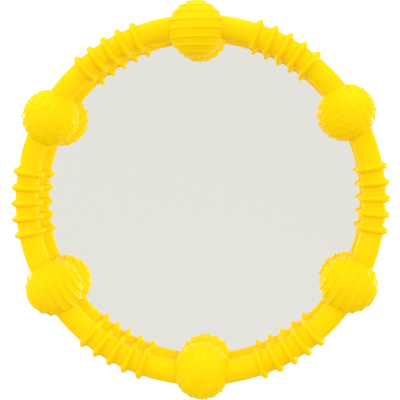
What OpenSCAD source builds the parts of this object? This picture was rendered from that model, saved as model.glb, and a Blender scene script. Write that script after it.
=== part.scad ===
// Tactile toss ring: soft ribbed sleeves threaded on a stiff hoop, with six hollow balls closed
// around the hoop between them. Millimetres. The ring lies in the XY plane, its axis is Z, the
// origin is its centre, and the first ridged ball is on +Y.

/* [Ring] */
// Overall diameter, measured over the balls
ring_d = 250; // [220:1:300]

/* [Balls] */
// Diameter of a ball over its ridges or studs
ball_d = 36.6; // [34:0.1:38]
// Distance of a ball's centre inside the tube's line, which puts its mouths on the ball's middle
ball_inset = 1.9; // [0:0.1:2.5]
// Wall thickness under the ridges and studs
ball_wall = 2.1; // [1.6:0.1:2.6]
// Angle from one ridge to the next, seen from the ball's centre
ridge_pitch = 18; // [15, 18, 22.5]
// Height of a ridge above the ball
ridge_height = 0.7; // [0.4:0.05:0.9]
// Radius of a ridge's round crest
ridge_crest_r = 1.1; // [1:0.05:1.6]
// Radius of a stud
stud_r = 0.95; // [0.7:0.05:1.3]
// Height of a stud above the ball
stud_height = 0.65; // [0.4:0.05:0.9]

/* [Sleeves] */
// Outer diameter of the plain tube
sleeve_d = 14.6; // [13:0.1:16]
// Diameter over a rib
rib_d = 20.3; // [19.6:0.1:23]
// Radius of a rib's round crest
rib_crest_r = 1.7; // [1.2:0.05:1.8]
// Half the width of a rib where its fillets begin
rib_root_half = 2.1; // [2:0.05:2.3]
// Radius of the fillet at the foot of a rib
rib_fillet_r = 0.8; // [0.3:0.1:1]
// Number of ribs on a sleeve
rib_count = 5; // [3:2:5]
// Angle from one rib to the next, seen from the ring's centre
rib_pitch = 5; // [4.4:0.05:5.6]
// Diameter of the flange that holds a sleeve's end inside a ball
flange_d = 17; // [16:0.1:18]
// Thickness of that flange
flange_t = 2; // [1.5:0.1:2.4]

/* [Core] */
// Outer diameter of the hoop inside
hoop_d = 8; // [7:0.1:9]
// Bore of the hoop
hoop_bore = 5; // [4:0.1:6]
// Gap between the hoop's two ends
hoop_gap = 0.5; // [0.2:0.1:1]
// Length of the plug that joins the ends
joiner_length = 30; // [20:1:40]

/* [Fit] */
// Clearance around a part that sits in another
fit_gap = 0.05; // [0.02:0.01:0.1]
// Diameter of a locating peg
peg_d = 3; // [2.4:0.1:3.2]
// Length of a locating peg beyond its half ball
peg_length = 3.4; // [2.5:0.1:4]
// Distance of a peg from the ball's centre
peg_offset = 10; // [9:0.1:10.4]

/* [Hidden] */
$fn = 96;

// Three ridged and three studded balls, in turn.
ball_count = 6;

// The circle that every piece is centred on.
line_r = (ring_d - ball_d) / 2 + ball_inset;
module_angle = 360 / ball_count;
first_ball_angle = 90;

// The plain spheres that the ridges and the studs stand on.
ridged_base_d = ball_d - 2 * ridge_height;
studded_base_d = ball_d - 2 * stud_height;
cavity_d = ridged_base_d - 2 * ball_wall;
ridge_line_r = ball_d / 2 - ridge_crest_r;
ridge_steps = 90 / ridge_pitch - 1;

// Rows of studs round the outward axis: each row's angle from the outer pole, and its full number.
// The numbers are even and no multiple of 4, so no stud lies where the two half balls meet.
stud_rows = [
    [9, 6], [27, 14], [45, 18], [63, 18], [81, 18],
    [99, 18], [117, 18], [135, 18], [153, 14], [171, 6],
];
stud_fn = 24;
// No stud stands nearer than this to the line through the two mouths.
stud_mouth_angle = asin(sleeve_d / studded_base_d) + 6;

// A sleeve ends inside the ball, behind the mouth's wall, where its flange still has room.
flange_room = 0.2;
flange_outer_x = sqrt(pow(cavity_d / 2, 2) - pow(flange_d / 2 + ball_inset, 2)) - flange_room;
sleeve_end_x = flange_outer_x - flange_t;
sleeve_end_angle = asin(sleeve_end_x / line_r);
sleeve_angle = module_angle - 2 * sleeve_end_angle;
flange_angle = asin(flange_outer_x / line_r) - sleeve_end_angle;

// A rib's foot starts this far below the tube's surface, because the tube is bent and the rib isn't.
rib_foot_sink = 0.12;

boss_d = peg_d + 2.4;
web_t = 2.4;
socket_gap = 0.1;
socket_spare_depth = 0.5;
mouth_half_angle = 14;
overlap = 1;

function ball_angle(index) = first_ball_angle + index * module_angle;
function sleeve_mid_angle(index) = ball_angle(index) + module_angle / 2;

// ---------- Helpers ----------

// A round rod bent along the ring's line, from one angle to another.
module bent_rod(diameter, from_angle, sweep) {
    rotate([0, 0, from_angle])
        rotate_extrude(angle = sweep)
            translate([line_r, 0])
                circle(d = diameter);
}

// Children are drawn round a ball's centre: X along the ring's line, Y outwards, Z along the axis.
module at_ball(index) {
    rotate([0, 0, ball_angle(index) - 90])
        translate([0, line_r - ball_inset, 0])
            children();
}

// The stretch of a bent rod that passes through a ball, in the ball's own frame.
module rod_through_ball(diameter) {
    translate([0, ball_inset - line_r, 0])
        bent_rod(diameter, 90 - mouth_half_angle, 2 * mouth_half_angle);
}

// The half space above the plane where the two half balls meet.
module upper_half() {
    translate([-ball_d, -ball_d, 0])
        cube([2 * ball_d, 2 * ball_d, ball_d]);
}

// ---------- Sleeve ----------

// One rib: a disc with a round crest and a filleted foot, on an axis along Z.
module rib() {
    crest_line_r = rib_d / 2 - rib_crest_r;
    fillet_line_r = sleeve_d / 2 - rib_foot_sink + rib_fillet_r;
    foot_half_width = rib_root_half + rib_fillet_r;
    rotate_extrude() {
        polygon([
            [0, -rib_root_half], [fillet_line_r, -rib_root_half], [crest_line_r, -rib_crest_r],
            [crest_line_r, rib_crest_r], [fillet_line_r, rib_root_half], [0, rib_root_half],
        ]);
        translate([crest_line_r, 0])
            circle(r = rib_crest_r);
        difference() {
            translate([0, -foot_half_width])
                square([fillet_line_r, 2 * foot_half_width]);
            for (side = [-1, 1])
                translate([fillet_line_r, side * foot_half_width])
                    circle(r = rib_fillet_r);
        }
    }
}

module ribbed_sleeve(index) {
    mid = sleeve_mid_angle(index);
    start = mid - sleeve_angle / 2;
    color("gold")
        difference() {
            union() {
                bent_rod(sleeve_d, start, sleeve_angle);
                for (i = [0 : rib_count - 1])
                    rotate([0, 0, mid + (i - (rib_count - 1) / 2) * rib_pitch])
                        translate([line_r, 0, 0])
                            rotate([90, 0, 0])
                                rib();
                bent_rod(flange_d, start, flange_angle);
                bent_rod(flange_d, start + sleeve_angle - flange_angle, flange_angle);
            }
            bent_rod(hoop_d, start - overlap, sleeve_angle + 2 * overlap);
        }
}

// ---------- Balls ----------

// Sphere with round ridges that run around its outward axis.
module ridged_form() {
    sphere(d = ridged_base_d);
    rotate([-90, 0, 0]) {
        for (k = [-ridge_steps : ridge_steps])
            rotate_extrude()
                translate([ridge_line_r * cos(k * ridge_pitch), ridge_line_r * sin(k * ridge_pitch)])
                    circle(r = ridge_crest_r);
        for (side = [-1, 1])
            translate([0, 0, side * ridge_line_r])
                sphere(r = ridge_crest_r);
    }
}

// Sphere with rows of round studs on its upper half, around its outward axis.
module studded_form() {
    stud_line_r = ball_d / 2 - stud_r;
    sphere(d = studded_base_d);
    for (row = stud_rows)
        for (j = [0 : row[1] - 1]) {
            turn = j * 360 / row[1];
            along = sin(row[0]) * sin(turn);
            up = sin(row[0]) * cos(turn);
            if (up > 0 && acos(abs(along)) > stud_mouth_angle)
                translate(stud_line_r * [along, cos(row[0]), up])
                    sphere(r = stud_r, $fn = stud_fn);
        }
}

// The upper half of a hollow ball, with its two mouths for the sleeves' ends.
module half_shell(ridged) {
    difference() {
        intersection() {
            union() {
                if (ridged)
                    ridged_form();
                else
                    studded_form();
            }
            upper_half();
        }
        sphere(d = cavity_d);
        rod_through_ball(sleeve_d + 2 * fit_gap);
    }
}

// The web that holds the hoop in the ball's middle, and the two bosses for the pegs.
module web() {
    intersection() {
        union() {
            translate([-web_t / 2, -cavity_d / 2, 0])
                cube([web_t, cavity_d, cavity_d / 2]);
            for (side = [-1, 1])
                translate([0, side * peg_offset, 0])
                    cylinder(d = boss_d, h = cavity_d / 2);
        }
        sphere(d = cavity_d + ball_wall);
    }
}

module half_ball(ridged) {
    difference() {
        union() {
            half_shell(ridged);
            web();
        }
        rod_through_ball(hoop_d + 2 * fit_gap);
    }
}

module front_half(ridged) {
    socket_depth = peg_length + socket_spare_depth;
    color("yellow")
        difference() {
            half_ball(ridged);
            for (side = [-1, 1])
                translate([0, side * peg_offset, -overlap])
                    cylinder(d = peg_d + socket_gap, h = socket_depth + overlap);
        }
}

module back_half(ridged) {
    color("gold")
        union() {
            mirror([0, 0, 1])
                half_ball(ridged);
            for (side = [-1, 1])
                translate([0, side * peg_offset, -overlap])
                    cylinder(d = peg_d, h = peg_length + overlap);
        }
}

module ridged_ball_front(number) {
    at_ball(2 * (number - 1))
        front_half(true);
}

module ridged_ball_back(number) {
    at_ball(2 * (number - 1))
        back_half(true);
}

module studded_ball_front(number) {
    at_ball(2 * number - 1)
        front_half(false);
}

module studded_ball_back(number) {
    at_ball(2 * number - 1)
        back_half(false);
}

// ---------- Core ----------

// Stiff tube bent to a circle. Its ends meet inside the first ball.
module core_hoop() {
    gap_angle = 2 * asin(hoop_gap / 2 / line_r);
    color("ivory")
        rotate([0, 0, first_ball_angle + gap_angle / 2])
            rotate_extrude(angle = 360 - gap_angle)
                translate([line_r, 0])
                    difference() {
                        circle(d = hoop_d);
                        circle(d = hoop_bore);
                    }
}

// Plug pressed into the hoop's two ends.
module hoop_joiner() {
    half_angle = asin(joiner_length / 2 / line_r);
    color("gray")
        bent_rod(hoop_bore, first_ball_angle - half_angle, 2 * half_angle);
}

core_hoop();
hoop_joiner();
ribbed_sleeve(0);  // ribbed_sleeve_1
ribbed_sleeve(1);  // ribbed_sleeve_2
ribbed_sleeve(2);  // ribbed_sleeve_3
ribbed_sleeve(3);  // ribbed_sleeve_4
ribbed_sleeve(4);  // ribbed_sleeve_5
ribbed_sleeve(5);  // ribbed_sleeve_6
ridged_ball_front(1);  // ridged_ball_1_front
ridged_ball_back(1);  // ridged_ball_1_back
ridged_ball_front(2);  // ridged_ball_2_front
ridged_ball_back(2);  // ridged_ball_2_back
ridged_ball_front(3);  // ridged_ball_3_front
ridged_ball_back(3);  // ridged_ball_3_back
studded_ball_front(1);  // studded_ball_1_front
studded_ball_back(1);  // studded_ball_1_back
studded_ball_front(2);  // studded_ball_2_front
studded_ball_back(2);  // studded_ball_2_back
studded_ball_front(3);  // studded_ball_3_front
studded_ball_back(3);  // studded_ball_3_back
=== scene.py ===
"""A tactile toss ring in soft yellow vinyl: ribbed sleeves, ridged and studded balls on a hoop."""
import math

import bpy
import numpy as np
from mathutils import Matrix, Vector


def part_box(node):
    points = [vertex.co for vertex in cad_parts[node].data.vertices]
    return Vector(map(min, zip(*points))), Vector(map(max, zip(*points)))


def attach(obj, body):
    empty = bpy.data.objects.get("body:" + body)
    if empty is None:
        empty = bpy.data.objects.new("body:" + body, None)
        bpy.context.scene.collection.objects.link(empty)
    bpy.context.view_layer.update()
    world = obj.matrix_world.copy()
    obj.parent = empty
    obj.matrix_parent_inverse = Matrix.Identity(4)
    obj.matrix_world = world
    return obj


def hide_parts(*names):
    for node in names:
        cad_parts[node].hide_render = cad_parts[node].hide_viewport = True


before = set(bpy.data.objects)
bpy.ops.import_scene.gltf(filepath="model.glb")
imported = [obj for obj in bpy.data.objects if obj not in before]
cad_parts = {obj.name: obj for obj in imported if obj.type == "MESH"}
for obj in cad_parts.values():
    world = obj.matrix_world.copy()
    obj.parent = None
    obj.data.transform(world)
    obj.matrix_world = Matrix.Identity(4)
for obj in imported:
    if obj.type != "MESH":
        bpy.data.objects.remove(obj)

MM = 0.001
TAU = 2 * math.pi


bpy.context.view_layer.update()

# ---------- Sizes: taken from the frame, or named here in millimetres ----------

HOOP_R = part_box("core_hoop")[1].z
LINE_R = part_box("core_hoop")[1].x - HOOP_R
BALL_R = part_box("ridged_ball_1_front")[1].z
RIB_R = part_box("ribbed_sleeve_1")[1].z

TUBE_R = 7.3 * MM
BALL_INSET = 1.9 * MM
BALL_LINE_R = LINE_R - BALL_INSET
FIT_GAP = 0.05 * MM
MODULE = math.radians(60)
FIRST_BALL = math.radians(90)

RIB_COUNT = 5
RIB_PITCH = math.radians(5)
RIB_CREST_R = 1.7 * MM
RIB_ROOT_HALF = 2.1 * MM
RIB_FILLET_R = 0.8 * MM

RIDGE_PITCH = math.radians(18)
RIDGE_CREST_R = 1.1 * MM
RIDGE_HEIGHT = 0.7 * MM
RIDGE_BLEND = 0.4 * MM

STUD_R = 0.95 * MM
STUD_HEIGHT = 0.65 * MM
STUD_BLEND = 0.4 * MM
STUD_ROWS = ((9, 6), (27, 14), (45, 18), (63, 18), (81, 18),
             (99, 18), (117, 18), (135, 18), (153, 14), (171, 6))
STUD_MOUTH_GAP = math.radians(6)
STUD_MOUTH_ANGLE = math.asin(TUBE_R / (BALL_R - STUD_HEIGHT)) + STUD_MOUTH_GAP

WALL = 2.1 * MM
CAVITY_R = BALL_R - RIDGE_HEIGHT - WALL
FLANGE_ROOM = 0.2 * MM
FLANGE_R = 8.5 * MM
FLANGE_T = 2.0 * MM
EDGE_R = 0.16 * MM

BEAD_HEIGHT = 0.1 * MM
BEAD_HALF_WIDTH = 0.22 * MM

# ---------- How finely the meshes are made ----------

AROUND_STEPS = 72
BEAD_STEP = 0.025
BEAD_PLACES = (-1.5, -1, -0.5, 0.5, 1, 1.5)
BORE_STEPS = 40
PLAIN_TUBE_STEP = 1.5 * MM
FILLET_STEPS = 6
CREST_STEPS = 13

INNER_COLUMNS = 25
EDGE_REACH = 0.012
EDGE_PLACES = (0, 0.12, 0.35, 0.7, 1.15)
EDGE_CLEARANCE = 1.3
MOUTH_ROW_OFFSETS_DEG = (-0.8, -0.4, -0.2, -0.08, 0.05, 0.3)
BISECTIONS = 40

# ---------- Mesh helpers ----------


def mesh_object(name, points, faces):
    """A smooth-shaded mesh object whose faces all look outwards."""
    mesh = bpy.data.meshes.new(name)
    mesh.from_pydata([tuple(p) for p in points], [], faces)
    mesh.update()
    mesh.shade_smooth()
    obj = bpy.data.objects.new(name, mesh)
    bpy.context.scene.collection.objects.link(obj)
    return obj


def smooth_max(a, b, width):
    """The larger of a and b, rounded only where they differ by less than that width."""
    blend = np.maximum(width - np.abs(a - b), 0)
    return np.maximum(a, b) + blend ** 2 / (4 * width)


def ball_to_ring(points, angle):
    """Ball coordinates (X along the ring, Y outwards, Z along the axis) to the ring's."""
    turn = angle - math.pi / 2
    x, y, z = points[..., 0], points[..., 1] + BALL_LINE_R, points[..., 2]
    return np.stack([x * math.cos(turn) - y * math.sin(turn),
                     x * math.sin(turn) + y * math.cos(turn), z], axis=-1)


# ---------- Sleeves ----------


def arc_points(centre, radius, start_deg, end_deg, steps):
    """Points of an arc in the plane of (distance along the tube, distance from its line)."""
    angles = np.radians(np.linspace(start_deg, end_deg, steps))
    return [(centre[0] + radius * math.cos(a), centre[1] + radius * math.sin(a)) for a in angles]


def rib_profile(centre):
    """One rib's outline: fillet, flank, round crest, flank, fillet."""
    foot = RIB_ROOT_HALF + RIB_FILLET_R
    fillet_line = TUBE_R + RIB_FILLET_R
    crest_line = RIB_R - RIB_CREST_R
    left = arc_points((centre - foot, fillet_line), RIB_FILLET_R, -90, 0, FILLET_STEPS)
    crest = arc_points((centre, crest_line), RIB_CREST_R, 180, 0, CREST_STEPS)
    right = arc_points((centre + foot, fillet_line), RIB_FILLET_R, 180, 270, FILLET_STEPS)
    return left + crest + right


def sleeve_profile(half_length):
    """The sleeve's whole outline from one end to the other, flanges included."""
    ribs = [(i - (RIB_COUNT - 1) / 2) * RIB_PITCH * LINE_R for i in range(RIB_COUNT)]
    inner_flange = half_length - FLANGE_T
    points = [(-half_length, FLANGE_R - EDGE_R), (-half_length + EDGE_R, FLANGE_R),
              (-inner_flange - EDGE_R, FLANGE_R), (-inner_flange, FLANGE_R - EDGE_R),
              (-inner_flange, TUBE_R)]
    rib_reach = RIB_ROOT_HALF + RIB_FILLET_R
    previous = -inner_flange
    for centre in ribs + [None]:
        stop = inner_flange if centre is None else centre - rib_reach
        steps = max(2, round((stop - previous) / PLAIN_TUBE_STEP))
        points += [(previous + (stop - previous) * k / steps, TUBE_R) for k in range(1, steps)]
        if centre is not None:
            points += rib_profile(centre)
            previous = centre + rib_reach
    points += [(-x, r) for x, r in reversed(points[:5])]
    return points


def parting_bead(around):
    """A fine raised line where the mould's two halves met, at the tube's outer and inner side."""
    nearest = np.abs(np.sin(around)) * TUBE_R
    return BEAD_HEIGHT * np.exp(-(nearest / BEAD_HALF_WIDTH) ** 2)


def around_angles():
    """Angles round the tube, with extra ones close to the two parting lines."""
    even = np.linspace(0, TAU, AROUND_STEPS, endpoint=False)
    close = [side * math.pi + k * BEAD_STEP for side in (0, 1) for k in BEAD_PLACES]
    return np.unique(np.round(np.mod(np.concatenate([even, close]), TAU), 6))


def bent_point_grid(profile, around, middle, bead):
    """Sweeps a profile of (along, radius) round the ring's line; the bead never passes RIB_R."""
    along = np.array([p[0] for p in profile])[:, None]
    radius = np.minimum(np.array([p[1] for p in profile])[:, None] + bead[None, :], RIB_R)
    turn = middle + along / LINE_R
    out = LINE_R + radius * np.cos(around)[None, :]
    return np.stack([out * np.cos(turn), out * np.sin(turn),
                     radius * np.sin(around)[None, :] + 0 * turn], axis=-1)


def loop_faces(start_a, start_b, count):
    """Quads between two closed rings of points."""
    return [(start_a + j, start_a + (j + 1) % count, start_b + (j + 1) % count, start_b + j)
            for j in range(count)]


def make_sleeve(number, middle, end_gap):
    """A closed solid: ribbed outside, hoop bore inside, flanged ends."""
    half_length = (MODULE / 2 - end_gap) * LINE_R
    outside = sleeve_profile(half_length)
    inside = [(x, HOOP_R) for x in np.linspace(half_length, -half_length, BORE_STEPS)]
    around = around_angles()
    bead = parting_bead(around)
    outer = bent_point_grid(outside, around, middle, bead)
    inner = bent_point_grid(inside, around, middle, 0 * bead)
    grid = np.concatenate([outer, inner])
    rows, count = grid.shape[:2]
    faces = []
    for i in range(rows):
        faces += loop_faces(i * count, ((i + 1) % rows) * count, count)
    return mesh_object("sleeve_%d" % number, grid.reshape(-1, 3), faces)


# ---------- Balls ----------


def direction(latitude, longitude):
    """Unit vectors: latitude towards the outer pole (+Y), longitude from +Z towards +X."""
    return np.stack([np.cos(latitude) * np.sin(longitude), np.sin(latitude),
                     np.cos(latitude) * np.cos(longitude)], axis=-1)


def round_crest(off, crest_r):
    """How far out a crest of that radius reaches, at an angle off its middle."""
    line = BALL_R - crest_r
    return line * np.cos(off) + np.sqrt(np.maximum(crest_r ** 2 - (line * np.sin(off)) ** 2, 0))


def ridged_radius(latitude, longitude):
    """Distance of the ridged ball's surface from its centre."""
    off = np.mod(latitude + RIDGE_PITCH / 2, RIDGE_PITCH) - RIDGE_PITCH / 2
    crest = round_crest(off, RIDGE_CREST_R)
    return smooth_max(crest, BALL_R - RIDGE_HEIGHT + 0 * longitude, RIDGE_BLEND)


def stud_directions():
    """Every stud's direction on a whole ball."""
    found = []
    for polar_deg, count in STUD_ROWS:
        for j in range(count):
            d = direction(math.radians(90 - polar_deg), j * TAU / count)
            if math.acos(min(1, abs(d[0]))) > STUD_MOUTH_ANGLE:
                found.append(d)
    return np.array(found)


def studded_radius(latitude, longitude):
    """Distance of the studded ball's surface from its centre."""
    d = direction(latitude, longitude)
    nearest = np.max(d.reshape(-1, 3) @ stud_directions().T, axis=1).reshape(d.shape[:-1])
    off = np.arccos(np.clip(nearest, -1, 1))
    dome = round_crest(off, STUD_R)
    return smooth_max(dome, BALL_R - STUD_HEIGHT + 0 * off, STUD_BLEND)


def cavity_radius(latitude, longitude):
    """Distance of the ball's inner wall from its centre."""
    return CAVITY_R + 0 * (latitude + longitude)


def mouth_longitude(latitudes, radius_of, tube_r):
    """For each latitude, the longitude where the ball's surface meets the tube, or 90 degrees."""
    low = np.zeros_like(latitudes)
    high = np.full_like(latitudes, math.pi / 2)

    def clear_of_tube(longitudes):
        p = direction(latitudes, longitudes) * radius_of(latitudes, longitudes)[:, None]
        return np.hypot(np.hypot(p[:, 0], p[:, 1] + BALL_LINE_R) - LINE_R, p[:, 2]) > tube_r

    all_clear = clear_of_tube(high)
    for _ in range(BISECTIONS):
        middle = (low + high) / 2
        clear = clear_of_tube(middle)
        low = np.where(clear, middle, low)
        high = np.where(clear, high, middle)
    return np.where(all_clear, math.pi / 2, low)


def latitude_rows(step_deg, mouth_edges):
    """Latitudes from pole to pole, with close rows where the mouth's round edge runs along them."""
    even = np.radians(np.arange(-90 + step_deg, 90, step_deg))
    close = [edge + math.radians(k) for edge in mouth_edges for k in MOUTH_ROW_OFFSETS_DEG]
    return np.unique(np.concatenate([even, close]))


def edge_columns(count):
    """Column places from -1 to 1, with close ones at both ends for the rounded edge."""
    even = np.linspace(-1, 1, count + 1)[1:-1]
    close = np.array(EDGE_PLACES) * EDGE_REACH
    away = even[np.abs(even) < 1 - EDGE_CLEARANCE * EDGE_REACH]
    return np.unique(np.concatenate([away, -1 + close, 1 - close]))


def half_shell_points(radius_of, latitudes, places, tube_r, edge_r):
    """Grid of points over the front half of a ball, between its mouths."""
    limit = mouth_longitude(latitudes, radius_of, tube_r)
    longitude = limit[:, None] * places[None, :]
    latitude = latitudes[:, None] + 0 * longitude
    radius = radius_of(latitude, longitude)
    if edge_r:
        rim = (1 - np.abs(places))[None, :] * limit[:, None] * BALL_R * np.cos(latitude)
        inward = np.clip(1 - rim / edge_r, 0, 1)
        radius = radius - edge_r * (1 - np.sqrt(1 - inward ** 2))
    return direction(latitude, longitude) * radius[..., None]


def half_shell_faces(rows, outer_count, inner_count):
    """Faces over the outside, the inside, both rims and the four pole points of a half shell."""
    inner_start = rows * outer_count
    pole_start = inner_start + rows * inner_count
    faces = []
    for i in range(rows - 1):
        a, b = i * outer_count, (i + 1) * outer_count
        faces += [(a + j, a + j + 1, b + j + 1, b + j) for j in range(outer_count - 1)]
        c, d = inner_start + i * inner_count, inner_start + (i + 1) * inner_count
        faces += [(c + j, d + j, d + j + 1, c + j + 1) for j in range(inner_count - 1)]
        faces.append((a, b, d, c))
        faces.append((b + outer_count - 1, a + outer_count - 1,
                      c + inner_count - 1, d + inner_count - 1))
    for last, row in ((0, 0), (1, rows - 1)):
        a = row * outer_count
        c = inner_start + row * inner_count
        outer_pole, inner_pole = pole_start + last, pole_start + 2 + last
        ring = [(a + j, a + j + 1, outer_pole) for j in range(outer_count - 1)]
        ring += [(c + j + 1, c + j, inner_pole) for j in range(inner_count - 1)]
        ring.append((a, c, inner_pole, outer_pole)[::-1])
        ring.append((a + outer_count - 1, c + inner_count - 1, inner_pole, outer_pole))
        faces += [f if last else f[::-1] for f in ring]
    return faces


def make_half_ball(name, angle, radius_of, step_deg, columns, front):
    """A closed half shell: outside with its relief, inside plain, a rounded edge all round."""
    tube_r = TUBE_R + FIT_GAP
    mouth_edges = [side * math.asin(tube_r / BALL_R) for side in (-1, 1)]
    latitudes = latitude_rows(step_deg, mouth_edges)
    inner_places = np.linspace(-1, 1, INNER_COLUMNS)
    outer = half_shell_points(radius_of, latitudes, edge_columns(columns), tube_r, EDGE_R)
    inner = half_shell_points(cavity_radius, latitudes, inner_places, tube_r, 0)
    rows, outer_count = outer.shape[:2]
    inner_count = inner.shape[1]
    poles = np.array([[0, -1, 0], [0, 1, 0]], float)
    pole_r = radius_of(np.array([math.pi / 2]), np.zeros(1))[0]
    points = np.concatenate([outer.reshape(-1, 3), inner.reshape(-1, 3),
                             poles * (pole_r - EDGE_R), poles * CAVITY_R])
    faces = half_shell_faces(rows, outer_count, inner_count)
    if not front:
        points = points * np.array([1, 1, -1])
        faces = [f[::-1] for f in faces]
    return mesh_object(name, ball_to_ring(points, angle), faces)


# ---------- Materials ----------


# The Mix node has sockets for several types; these are the places of its colour ones.
MIX_COLOUR_A = 6
MIX_COLOUR_B = 7
MIX_COLOUR_RESULT = 2


class Nodes:
    """Short calls for building a node material."""

    def __init__(self, name):
        self.material = bpy.data.materials.new(name)
        self.material.use_nodes = True
        self.tree = self.material.node_tree
        self.shader = self.tree.nodes["Principled BSDF"]
        self.place = self.add("ShaderNodeTexCoord").outputs["Object"]

    def add(self, kind, **values):
        node = self.tree.nodes.new(kind)
        for key, value in values.items():
            setattr(node, key, value)
        return node

    def link(self, source, target):
        self.tree.links.new(source, target)
        return target

    def noise(self, scale, detail=2.0, roughness=0.5, distortion=0.0):
        node = self.add("ShaderNodeTexNoise")
        self.link(self.place, node.inputs["Vector"])
        node.inputs["Scale"].default_value = scale
        node.inputs["Detail"].default_value = detail
        node.inputs["Roughness"].default_value = roughness
        node.inputs["Distortion"].default_value = distortion
        return node.outputs["Fac"]

    def ramp(self, value, low, high, low_at=0.35, high_at=0.65):
        """Maps a value from low_at..high_at to low..high, as a colour or a number."""
        node = self.add("ShaderNodeMapRange")
        self.link(value, node.inputs["Value"])
        node.inputs["From Min"].default_value = low_at
        node.inputs["From Max"].default_value = high_at
        node.inputs["To Min"].default_value = low
        node.inputs["To Max"].default_value = high
        return node.outputs["Result"]

    def mix(self, factor, a, b):
        node = self.add("ShaderNodeMix", data_type="RGBA")
        self.link(factor, node.inputs["Factor"])
        for place, value in ((MIX_COLOUR_A, a), (MIX_COLOUR_B, b)):
            socket = node.inputs[place]
            if hasattr(value, "links"):
                self.link(value, socket)
            else:
                socket.default_value = (*value, 1)
        return node.outputs[MIX_COLOUR_RESULT]

    def bump(self, height, strength, distance, under=None):
        node = self.add("ShaderNodeBump")
        self.link(height, node.inputs["Height"])
        node.inputs["Strength"].default_value = strength
        node.inputs["Distance"].default_value = distance
        if under is not None:
            self.link(under, node.inputs["Normal"])
        return node.outputs["Normal"]

    def set(self, **values):
        for key, value in values.items():
            socket = self.shader.inputs[key.replace("_", " ")]
            if hasattr(value, "links"):
                self.link(value, socket)
            else:
                socket.default_value = value


def vinyl_material(name, tint):
    """Soft vinyl: cloudy pigment, a faint orange peel, and a thin clear coat for the gloss."""
    n = Nodes(name)
    clouds = n.ramp(n.noise(38, 4, 0.55, 0.4), 0, 1, 0.3, 0.7)
    specks = n.ramp(n.noise(900, 2, 0.5), 0, 1, 0.62, 0.8)
    pale = tuple(c * f for c, f in zip(tint, (1.0, 1.03, 1.3)))
    deep = tuple(c * f for c, f in zip(tint, (0.985, 0.96, 0.8)))
    colour = n.mix(clouds, deep, pale)
    colour = n.mix(n.ramp(specks, 0, 0.15, 0, 1), colour, tuple(c * 0.85 for c in tint))
    gloss = n.ramp(n.noise(120, 5, 0.6, 0.8), 0.16, 0.26)
    peel = n.bump(n.noise(1500, 2, 0.5), 0.10, 0.0001)
    surface = n.bump(n.noise(210, 3, 0.5), 0.10, 0.0003, peel)
    n.set(Base_Color=colour, Roughness=gloss, Normal=surface, IOR=1.48,
          Specular_Tint=(1.0, 0.95, 0.25, 1.0), Specular_IOR_Level=0.01)
    n.set(Subsurface_Weight=0.15, Subsurface_Scale=0.002, Subsurface_Radius=(1.0, 0.8, 0.1))
    n.set(Coat_Weight=0.05, Coat_Roughness=0.12, Coat_IOR=1.42)
    return n.material


def plastic_material(name, tint, roughness):
    """Extruded or moulded hard plastic for the pieces inside."""
    n = Nodes(name)
    streaks = n.noise(260, 4, 0.6)
    n.set(Base_Color=n.mix(n.ramp(streaks, 0, 1), tuple(c * 0.9 for c in tint), tint),
          Roughness=n.ramp(streaks, roughness - 0.08, roughness + 0.08),
          Normal=n.bump(n.noise(1200, 2), 0.2, 0.0001))
    return n.material


YELLOW = (0.95, 0.635, 0.002)
MATERIALS = {
    "sleeve_vinyl": vinyl_material("sleeve_vinyl", YELLOW),
    "ridged_vinyl": vinyl_material("ridged_vinyl", YELLOW),
    "studded_vinyl": vinyl_material("studded_vinyl", YELLOW),
    "hoop": plastic_material("hoop_plastic", (0.72, 0.70, 0.62), 0.45),
    "joiner": plastic_material("joiner_plastic", (0.12, 0.12, 0.13), 0.5),
}


def finish_piece(obj, node, slot):
    """Gives a piece its material, parents it to the root body and hides the CAD node it stands for.
    """
    obj.data.materials.append(MATERIALS[slot])
    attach(obj, "root")
    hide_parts(node)


# ---------- The object ----------


def build_sleeves():
    """Six sleeves between the balls, whose flanges end just inside the balls' shells."""
    end_x = math.sqrt(CAVITY_R ** 2 - (FLANGE_R + BALL_INSET) ** 2) - FLANGE_ROOM - FLANGE_T
    for number in range(1, 7):
        middle = FIRST_BALL + (number - 0.5) * MODULE
        sleeve = make_sleeve(number, middle, math.asin(end_x / LINE_R))
        finish_piece(sleeve, "ribbed_sleeve_%d" % number, "sleeve_vinyl")


# Kind, modules before its first ball, surface, degrees between rows, columns over half a turn.
BALL_KINDS = (("ridged", 0, ridged_radius, 0.75, 60),
              ("studded", 1, studded_radius, 0.8, 210))


def build_balls():
    """Three balls of each kind in turn, each a front and a back half shell."""
    for kind, shift, radius_of, step_deg, columns in BALL_KINDS:
        for number in (1, 2, 3):
            angle = FIRST_BALL + (2 * (number - 1) + shift) * MODULE
            for side in ("front", "back"):
                name = "%s_shell_%d_%s" % (kind, number, side)
                ball = make_half_ball(name, angle, radius_of, step_deg, columns, side == "front")
                finish_piece(ball, "%s_ball_%d_%s" % (kind, number, side), kind + "_vinyl")


def finish_core():
    """The hoop and its joiner keep the CAD's shape and only get their materials."""
    for node, slot in (("core_hoop", "hoop"), ("hoop_joiner", "joiner")):
        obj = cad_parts[node]
        obj.data.materials.clear()
        obj.data.materials.append(MATERIALS[slot])


# ---------- Studio ----------

FLOOR_Z = -BALL_R
FLOOR_HALF = 3.0

CAMERA_DISTANCE = 839.9 * MM
CAMERA_OFFSET = (60.3 * MM, 34.0 * MM)
CAMERA_LENS = 121.5
CAMERA_SENSOR = 36
CAMERA_ROLL = math.radians(0.93)
AIM = Vector((0.62 * MM, 0.45 * MM, 0))

PATCH_LIGHT = 0.79
PATCH_EDGE = (math.radians(7.9), math.radians(6.9))
SIDE_LIGHT = 1.37
SHADE_LIGHT = 0.72
SHADE_RANGE = (-0.75, 0.1)

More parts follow.
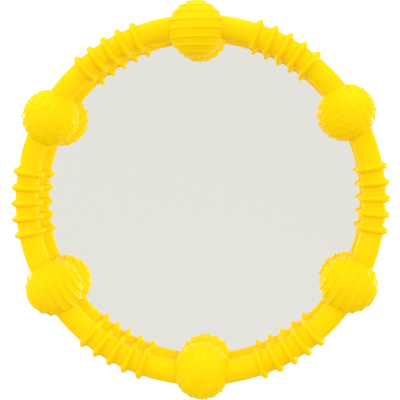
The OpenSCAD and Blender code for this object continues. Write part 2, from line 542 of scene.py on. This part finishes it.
RIM_LIGHTS = (("rim_left", -1, 1.5), ("rim_right", 1, 3.4))
RIM_SIDEWAYS = 0.8
RIM_SHIFT = 0.12
RIM_DEPTH = 0.6
RIM_SIZE = (0.035, 0.35)


def make_floor():
    """A pale mirror surface under the ring, which lets the rim lights below it through."""
    mesh = bpy.data.meshes.new("floor")
    signs = ((-1, -1), (1, -1), (1, 1), (-1, 1))
    corners = [(x * FLOOR_HALF, y * FLOOR_HALF, FLOOR_Z) for x, y in signs]
    mesh.from_pydata(corners, [], [(0, 1, 2, 3)])
    floor = bpy.data.objects.new("floor", mesh)
    bpy.context.scene.collection.objects.link(floor)
    n = Nodes("floor_gloss")
    tone = n.ramp(n.noise(2.0, 2), 0, 1)
    n.set(Base_Color=n.mix(tone, (0.97, 0.97, 0.92), (0.985, 0.985, 0.945)),
          Metallic=1.0, Roughness=0.02)
    mesh.materials.append(n.material)
    floor.visible_shadow = False


def make_light(name, place, size, watts):
    """A rectangular area light that faces the middle of the ring."""
    data = bpy.data.lights.new(name, "AREA")
    data.shape = "RECTANGLE"
    data.size, data.size_y = size
    data.energy = watts
    light = bpy.data.objects.new(name, data)
    light.location = place
    light.rotation_euler = (-Vector(place)).to_track_quat("-Z", "Y").to_euler()
    bpy.context.scene.collection.objects.link(light)
    return light


def make_world():
    """White studio walls all round, dimmer towards -Y, with a round pale grey panel overhead.

    The glossy floor mirrors the panel inside the ring and the white walls outside it.
    """
    world = bpy.data.worlds.new("studio")
    bpy.context.scene.world = world
    world.use_nodes = True
    tree = world.node_tree
    place = tree.nodes.new("ShaderNodeTexCoord")
    split = tree.nodes.new("ShaderNodeSeparateXYZ")
    tree.links.new(place.outputs["Generated"], split.inputs[0])

    def smooth(value, low_at, high_at, low, high):
        node = tree.nodes.new("ShaderNodeMapRange")
        node.interpolation_type = "SMOOTHSTEP"
        tree.links.new(value, node.inputs["Value"])
        for key, number in (("From Min", low_at), ("From Max", high_at),
                            ("To Min", low), ("To Max", high)):
            if hasattr(number, "links"):
                tree.links.new(number, node.inputs[key])
            else:
                node.inputs[key].default_value = number
        return node.outputs["Result"]

    walls = smooth(split.outputs["Y"], *SHADE_RANGE, SHADE_LIGHT, SIDE_LIGHT)
    towards = tree.nodes.new("ShaderNodeVectorMath")
    towards.operation = "DOT_PRODUCT"
    tree.links.new(place.outputs["Generated"], towards.inputs[0])
    mirrored_camera = Vector((*CAMERA_OFFSET, 2 * FLOOR_Z - CAMERA_DISTANCE))
    towards.inputs[1].default_value = (Vector((0, 0, FLOOR_Z)) - mirrored_camera).normalized()
    patch_from, patch_to = (math.cos(angle) for angle in PATCH_EDGE)
    strength = smooth(towards.outputs["Value"], patch_from, patch_to, walls, PATCH_LIGHT)
    background = tree.nodes["Background"]
    background.inputs["Color"].default_value = (1.0, 1.0, 0.975, 1)
    tree.links.new(strength, background.inputs["Strength"])


def make_studio():
    """The world, and two narrow lights from below that draw bright rims along the tube's sides."""
    make_world()
    for name, side, watts in RIM_LIGHTS:
        place = (side * RIM_SIDEWAYS, -side * RIM_SHIFT, FLOOR_Z - RIM_DEPTH)
        rim = make_light(name, place, RIM_SIZE, watts)
        rim.data.cycles.use_multiple_importance_sampling = False
    bpy.context.scene.view_settings.view_transform = "Standard"


def make_camera():
    """Looks down at the ring along its axis, a little from one side, and slightly rolled."""
    data = bpy.data.cameras.new("camera")
    data.lens = CAMERA_LENS
    data.sensor_width = CAMERA_SENSOR
    camera = bpy.data.objects.new("camera", data)
    place = Vector((*CAMERA_OFFSET, CAMERA_DISTANCE))
    camera.location = place
    back = (place - AIM).normalized()
    right = Vector((0, 1, 0)).cross(back).normalized()
    up = back.cross(right)
    turn = Matrix((right, up, back)).transposed()
    camera.rotation_euler = (turn @ Matrix.Rotation(-CAMERA_ROLL, 3, "Z")).to_euler()
    bpy.context.scene.collection.objects.link(camera)
    bpy.context.scene.camera = camera


make_camera()
build_sleeves()
build_balls()
finish_core()
make_floor()
make_studio()

bpy.context.view_layer.update()
